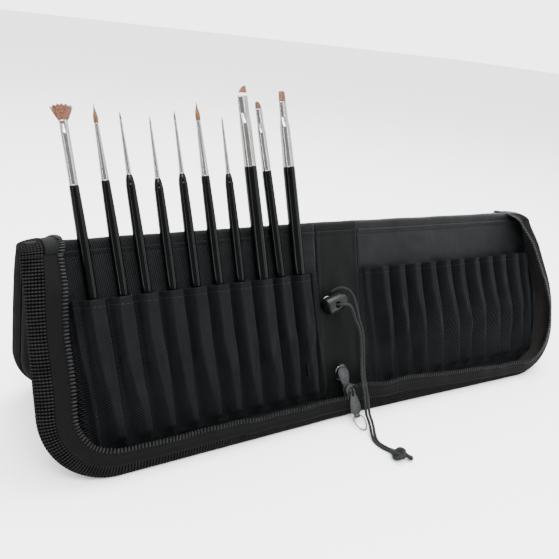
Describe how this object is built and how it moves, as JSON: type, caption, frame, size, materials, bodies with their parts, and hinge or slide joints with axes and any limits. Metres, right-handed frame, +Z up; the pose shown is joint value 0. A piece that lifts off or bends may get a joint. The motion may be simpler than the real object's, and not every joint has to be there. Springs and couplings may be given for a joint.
{
  "type": "zippered easel brush case with nail art brushes",
  "caption": "Zip-around case that folds back into a desk easel, with nail art brushes held upright in one row of sewn pockets.",
  "frame": {"origin": "centre of the standing case's footprint, at table height, with the free tail of the drawcord left out", "axes": "+X to the user's right along the crest, +Y away from the user, +Z up; the brushes are on the -X side of the front face"},
  "size_m": [0.4106, 0.1707, 0.2048],
  "materials": {
    "handle_lacquer": "gloss black lacquer",
    "ferrule": "polished nickel plate",
    "bristles": "fine copper brown hair",
    "case_fabric": "black nylon twill and satin lining over padding",
    "webbing": "ribbed black webbing and zipper tape",
    "zipper_coil": "black nylon coil",
    "pocket_fabric": "black nylon, satin sheen",
    "elastic_cord": "black elastic cord",
    "zipper_enamel": "dark enamelled zinc",
    "dark_steel": "dark plated steel",
    "lock_plastic": "satin dark grey plastic"
  },
  "bodies": {
    "front_spine": {"front_spine": "case_fabric", "front_eyelet": "dark_steel", "zipper_slider": "zipper_enamel", "drawcord_inner": "elastic_cord", "drawcord_strand_a": "elastic_cord", "drawcord_strand_b": "elastic_cord", "drawcord_knot": "elastic_cord"},
    "back_spine": {"back_spine": "case_fabric", "back_eyelet": "dark_steel"},
    "front_left": {"front_left_cover": "case_fabric", "front_left_rim": "webbing", "front_left_zipper_teeth": "zipper_coil", "left_pocket_row": "pocket_fabric"},
    "front_right": {"front_right_cover": "case_fabric", "front_right_rim": "webbing", "front_right_zipper_teeth": "zipper_coil", "right_pocket_row": "pocket_fabric"},
    "back_left": {"back_left_cover": "case_fabric", "back_left_rim": "webbing", "back_left_zipper_teeth": "zipper_coil"},
    "back_right": {"back_right_cover": "case_fabric", "back_right_rim": "webbing", "back_right_zipper_teeth": "zipper_coil"},
    "brush_01": {"brush_01_handle": "handle_lacquer", "brush_01_ferrule": "ferrule", "brush_01_bristles": "bristles"},
    "brush_02": {"brush_02_handle": "handle_lacquer", "brush_02_ferrule": "ferrule", "brush_02_bristles": "bristles"},
    "brush_03": {"brush_03_handle": "handle_lacquer", "brush_03_ferrule": "ferrule", "brush_03_bristles": "bristles"},
    "brush_04": {"brush_04_handle": "handle_lacquer", "brush_04_ferrule": "ferrule", "brush_04_bristles": "bristles"},
    "brush_05": {"brush_05_handle": "handle_lacquer", "brush_05_ferrule": "ferrule", "brush_05_bristles": "bristles"},
    "brush_06": {"brush_06_handle": "handle_lacquer", "brush_06_ferrule": "ferrule", "brush_06_bristles": "bristles"},
    "brush_07": {"brush_07_handle": "handle_lacquer", "brush_07_ferrule": "ferrule", "brush_07_bristles": "bristles"},
    "brush_08": {"brush_08_handle": "handle_lacquer", "brush_08_ferrule": "ferrule", "brush_08_bristles": "bristles"},
    "brush_09": {"brush_09_handle": "handle_lacquer", "brush_09_ferrule": "ferrule", "brush_09_bristles": "bristles"},
    "brush_10": {"brush_10_handle": "handle_lacquer", "brush_10_ferrule": "ferrule", "brush_10_bristles": "bristles"},
    "lower_pull": {"lower_pull_tab": "zipper_enamel"},
    "lower_loop": {"lower_pull_loop": "dark_steel"},
    "upper_pull": {"upper_pull_tab": "zipper_enamel"},
    "upper_loop": {"upper_pull_loop": "dark_steel"},
    "cord_lock": {"cord_lock_barrel": "lock_plastic", "cord_lock_spring": "dark_steel"},
    "cord_lock_button": {"cord_lock_plunger": "lock_plastic"}
  },
  "joints": [
    {"name": "easel_fold", "type": "hinge", "parent": "front_spine", "child": "back_spine", "pos_m": [0, 0.00838, 0.1265], "axis": [-1, 0, 0], "range_deg": [-142, 12], "deforming": ["drawcord_inner"]},
    {"name": "left_easel_fold", "type": "hinge", "parent": "front_left", "child": "back_left", "pos_m": [-0.00001, 0.00878, 0.1265], "axis": [-0.9997, -0.0227, 0], "range_deg": [-142, 12]},
    {"name": "right_easel_fold", "type": "hinge", "parent": "front_right", "child": "back_right", "pos_m": [0.00001, 0.00878, 0.1265], "axis": [-0.9997, 0.0227, 0], "range_deg": [-142, 12]},
    {"name": "left_cover_fold", "type": "hinge", "parent": "front_spine", "child": "front_left", "pos_m": [-0.0175, 0.00838, 0.1265], "axis": [0, -0.3256, -0.9455], "range_deg": [-88.7, 0], "deforming": ["drawcord_strand_a", "drawcord_strand_b", "drawcord_knot"]},
    {"name": "right_cover_fold", "type": "hinge", "parent": "front_spine", "child": "front_right", "pos_m": [0.0175, 0.00838, 0.1265], "axis": [0, 0.3256, 0.9455], "range_deg": [-88.7, 0]},
    {"name": "brush_01_slide", "type": "slide", "parent": "front_left", "child": "brush_01", "axis": [-0.0788, 0.323, 0.9431], "range_m": [0, 0.11]},
    {"name": "brush_02_slide", "type": "slide", "parent": "front_left", "child": "brush_02", "axis": [-0.0771, 0.3231, 0.9432], "range_m": [0, 0.11]},
    {"name": "brush_03_slide", "type": "slide", "parent": "front_left", "child": "brush_03", "axis": [-0.0788, 0.323, 0.9431], "range_m": [0, 0.11]},
    {"name": "brush_04_slide", "type": "slide", "parent": "front_left", "child": "brush_04", "axis": [-0.0649, 0.3236, 0.944], "range_m": [0, 0.11]},
    {"name": "brush_05_slide", "type": "slide", "parent": "front_left", "child": "brush_05", "axis": [-0.0632, 0.3237, 0.944], "range_m": [0, 0.11]},
    {"name": "brush_06_slide", "type": "slide", "parent": "front_left", "child": "brush_06", "axis": [-0.0667, 0.3236, 0.9439], "range_m": [0, 0.11]},
    {"name": "brush_07_slide", "type": "slide", "parent": "front_left", "child": "brush_07", "axis": [-0.0597, 0.3239, 0.9442], "range_m": [0, 0.11]},
    {"name": "brush_08_slide", "type": "slide", "parent": "front_left", "child": "brush_08", "axis": [-0.0632, 0.3237, 0.944], "range_m": [0, 0.11]},
    {"name": "brush_09_slide", "type": "slide", "parent": "front_left", "child": "brush_09", "axis": [-0.0875, 0.3226, 0.9425], "range_m": [0, 0.11]},
    {"name": "brush_10_slide", "type": "slide", "parent": "front_left", "child": "brush_10", "axis": [-0.0562, 0.324, 0.9444], "range_m": [0, 0.11]},
    {"name": "lower_pull_swing", "type": "hinge", "parent": "front_spine", "child": "lower_pull", "pos_m": [-0.0035, -0.04603, 0.01885], "axis": [-1, 0, 0], "range_deg": [-20, 120]},
    {"name": "upper_pull_swing", "type": "hinge", "parent": "front_spine", "child": "upper_pull", "pos_m": [-0.0035, -0.03998, 0.01677], "axis": [1, 0, 0], "range_deg": [0, 17]},
    {"name": "lower_loop_swing", "type": "hinge", "parent": "lower_pull", "child": "lower_loop", "pos_m": [-0.0035, -0.05512, 0.00532], "axis": [-1, 0, 0], "range_deg": [-37, 90]},
    {"name": "upper_loop_swing", "type": "hinge", "parent": "upper_pull", "child": "upper_loop", "pos_m": [-0.0035, -0.03035, 0.02992], "axis": [1, 0, 0], "range_deg": [-27, 5]},
    {"name": "cord_lock_slide", "type": "slide", "parent": "front_spine", "child": "cord_lock", "axis": [-1, 0, 0], "range_m": [-0.01, 0]},
    {"name": "cord_lock_press", "type": "slide", "parent": "cord_lock", "child": "cord_lock_button", "axis": [-0.9588, -0.0925, -0.2685], "range_m": [0, 0.003], "stiffness_N_per_m": 300, "springref_m": -0.002, "deforming": ["cord_lock_spring"]}
  ],
  "couplings": [
    {"joint": "left_easel_fold", "follows": "easel_fold", "ratio": 1},
    {"joint": "right_easel_fold", "follows": "easel_fold", "ratio": 1},
    {"joint": "cord_lock_slide", "follows": "left_cover_fold", "m_per_rad": 0.006453}
  ]
}
